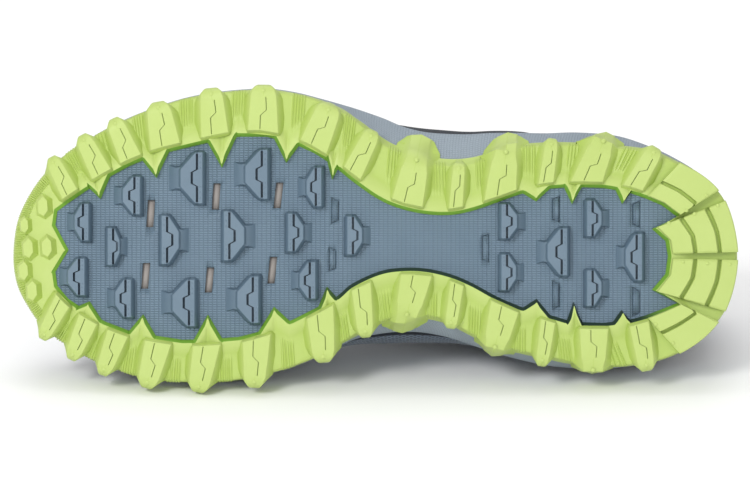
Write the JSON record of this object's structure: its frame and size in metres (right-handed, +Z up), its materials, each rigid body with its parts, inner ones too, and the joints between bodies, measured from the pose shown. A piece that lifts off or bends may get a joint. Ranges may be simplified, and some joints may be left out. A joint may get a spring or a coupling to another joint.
{
  "type": "trail running shoe",
  "caption": "Left trail running shoe lying on its medial side, with a lime rubber rim of deep lugs round a blue-grey lugged centre, a grey foam midsole and a dark textile upper.",
  "frame": {"origin": "centre of the bounding box at floor level", "axes": "+X from the toe to the heel, +Z up from the floor, the sole faces -Y"},
  "size_m": [0.2918, 0.1376, 0.1197],
  "materials": {
    "rim_rubber": "satin",
    "centre_rubber": "matte",
    "foam": "matte",
    "upper_textile": "matte",
    "insole_textile": "matte",
    "tongue_textile": "matte",
    "lace_textile": "matte"
  },
  "bodies": {
    "root": {"outsole_rim": "rim_rubber", "outsole_centre": "centre_rubber", "midsole": "foam", "upper": "upper_textile", "insole": "insole_textile", "tongue": "tongue_textile", "laces": "lace_textile"}
  },
  "joints": []
}
